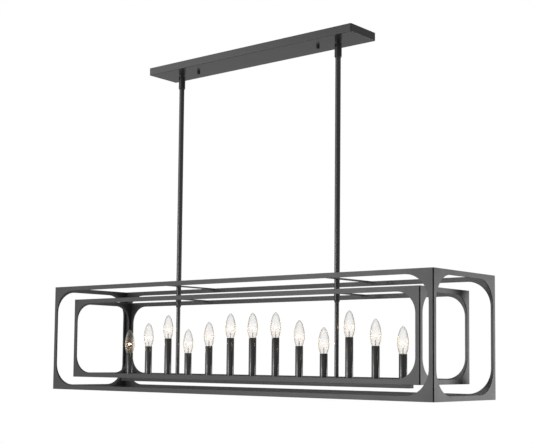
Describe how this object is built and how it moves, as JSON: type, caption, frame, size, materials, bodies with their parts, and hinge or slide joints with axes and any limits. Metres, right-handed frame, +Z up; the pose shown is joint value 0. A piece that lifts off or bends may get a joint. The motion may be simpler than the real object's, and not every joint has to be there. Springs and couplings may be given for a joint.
{
  "type": "linear island pendant light",
  "caption": "Linear island pendant with nested flat-bar cages on swivelling stems under a long ceiling canopy, and a row of candle bulbs on sleeves of stepped heights.",
  "frame": {"origin": "on the ceiling plane, at the centre of the mounting strap's upper face", "axes": "+X along the fixture's length, +Y to its rear, +Z up into the ceiling"},
  "size_m": [1.47, 0.328, 1.058],
  "materials": {
    "black_metal": "satin black powder coat",
    "zinc_steel": "zinc plated",
    "phenolic": "moulded phenolic",
    "bulb_glass": "clear",
    "bulb_cap": "plain brass"
  },
  "bodies": {
    "ceiling": {"ceiling_canopy": "black_metal", "mounting_strap": "zinc_steel", "strap_screws": "zinc_steel", "thumb_nuts": "black_metal", "swivel_ball_left": "black_metal", "swivel_ball_right": "black_metal", "swivel_stop_pins": "black_metal", "swivel_nuts": "zinc_steel"},
    "hanging": {"swivel_barrel_left": "black_metal", "swivel_barrel_right": "black_metal", "stem_left": "black_metal", "stem_right": "black_metal", "stem_couplers": "black_metal", "lower_tubes": "black_metal", "threaded_nipples": "zinc_steel", "outer_front_frame": "black_metal", "outer_rear_frame": "black_metal", "outer_left_frame": "black_metal", "outer_right_frame": "black_metal", "inner_front_frame": "black_metal", "inner_rear_frame": "black_metal", "inner_left_frame": "black_metal", "inner_right_frame": "black_metal", "outer_cross_straps": "black_metal", "inner_cross_straps": "black_metal", "wiring_channel": "black_metal", "channel_cover": "black_metal", "cover_screws": "black_metal", "channel_nuts": "zinc_steel", "candle_sleeves_short": "black_metal", "candle_sleeves_medium": "black_metal", "candle_sleeves_tall": "black_metal", "socket_posts": "zinc_steel", "lamp_sockets": "phenolic"},
    "bulb_01": {"bulb_glass_01": "bulb_glass", "bulb_base_01": "bulb_cap"},
    "bulb_02": {"bulb_glass_02": "bulb_glass", "bulb_base_02": "bulb_cap"},
    "bulb_03": {"bulb_glass_03": "bulb_glass", "bulb_base_03": "bulb_cap"},
    "bulb_04": {"bulb_glass_04": "bulb_glass", "bulb_base_04": "bulb_cap"},
    "bulb_05": {"bulb_glass_05": "bulb_glass", "bulb_base_05": "bulb_cap"},
    "bulb_06": {"bulb_glass_06": "bulb_glass", "bulb_base_06": "bulb_cap"},
    "bulb_07": {"bulb_glass_07": "bulb_glass", "bulb_base_07": "bulb_cap"},
    "bulb_08": {"bulb_glass_08": "bulb_glass", "bulb_base_08": "bulb_cap"},
    "bulb_09": {"bulb_glass_09": "bulb_glass", "bulb_base_09": "bulb_cap"},
    "bulb_10": {"bulb_glass_10": "bulb_glass", "bulb_base_10": "bulb_cap"},
    "bulb_11": {"bulb_glass_11": "bulb_glass", "bulb_base_11": "bulb_cap"},
    "bulb_12": {"bulb_glass_12": "bulb_glass", "bulb_base_12": "bulb_cap"},
    "bulb_13": {"bulb_glass_13": "bulb_glass", "bulb_base_13": "bulb_cap"}
  },
  "joints": [
    {"name": "hang_swivel", "type": "hinge", "parent": "ceiling", "child": "hanging", "pos_m": [0, 0, -0.03642], "axis": [1, 0, 0], "range_deg": [-18, 18]},
    {"name": "bulb_01_lift", "type": "slide", "parent": "hanging", "child": "bulb_01", "axis": [0, 0, 1], "range_m": [0, 0.032]},
    {"name": "bulb_02_lift", "type": "slide", "parent": "hanging", "child": "bulb_02", "axis": [0, 0, 1], "range_m": [0, 0.032]},
    {"name": "bulb_03_lift", "type": "slide", "parent": "hanging", "child": "bulb_03", "axis": [0, 0, 1], "range_m": [0, 0.032]},
    {"name": "bulb_04_lift", "type": "slide", "parent": "hanging", "child": "bulb_04", "axis": [0, 0, 1], "range_m": [0, 0.032]},
    {"name": "bulb_05_lift", "type": "slide", "parent": "hanging", "child": "bulb_05", "axis": [0, 0, 1], "range_m": [0, 0.032]},
    {"name": "bulb_06_lift", "type": "slide", "parent": "hanging", "child": "bulb_06", "axis": [0, 0, 1], "range_m": [0, 0.032]},
    {"name": "bulb_07_lift", "type": "slide", "parent": "hanging", "child": "bulb_07", "axis": [0, 0, 1], "range_m": [0, 0.032]},
    {"name": "bulb_08_lift", "type": "slide", "parent": "hanging", "child": "bulb_08", "axis": [0, 0, 1], "range_m": [0, 0.032]},
    {"name": "bulb_09_lift", "type": "slide", "parent": "hanging", "child": "bulb_09", "axis": [0, 0, 1], "range_m": [0, 0.032]},
    {"name": "bulb_10_lift", "type": "slide", "parent": "hanging", "child": "bulb_10", "axis": [0, 0, 1], "range_m": [0, 0.032]},
    {"name": "bulb_11_lift", "type": "slide", "parent": "hanging", "child": "bulb_11", "axis": [0, 0, 1], "range_m": [0, 0.032]},
    {"name": "bulb_12_lift", "type": "slide", "parent": "hanging", "child": "bulb_12", "axis": [0, 0, 1], "range_m": [0, 0.032]},
    {"name": "bulb_13_lift", "type": "slide", "parent": "hanging", "child": "bulb_13", "axis": [0, 0, 1], "range_m": [0, 0.032]}
  ]
}
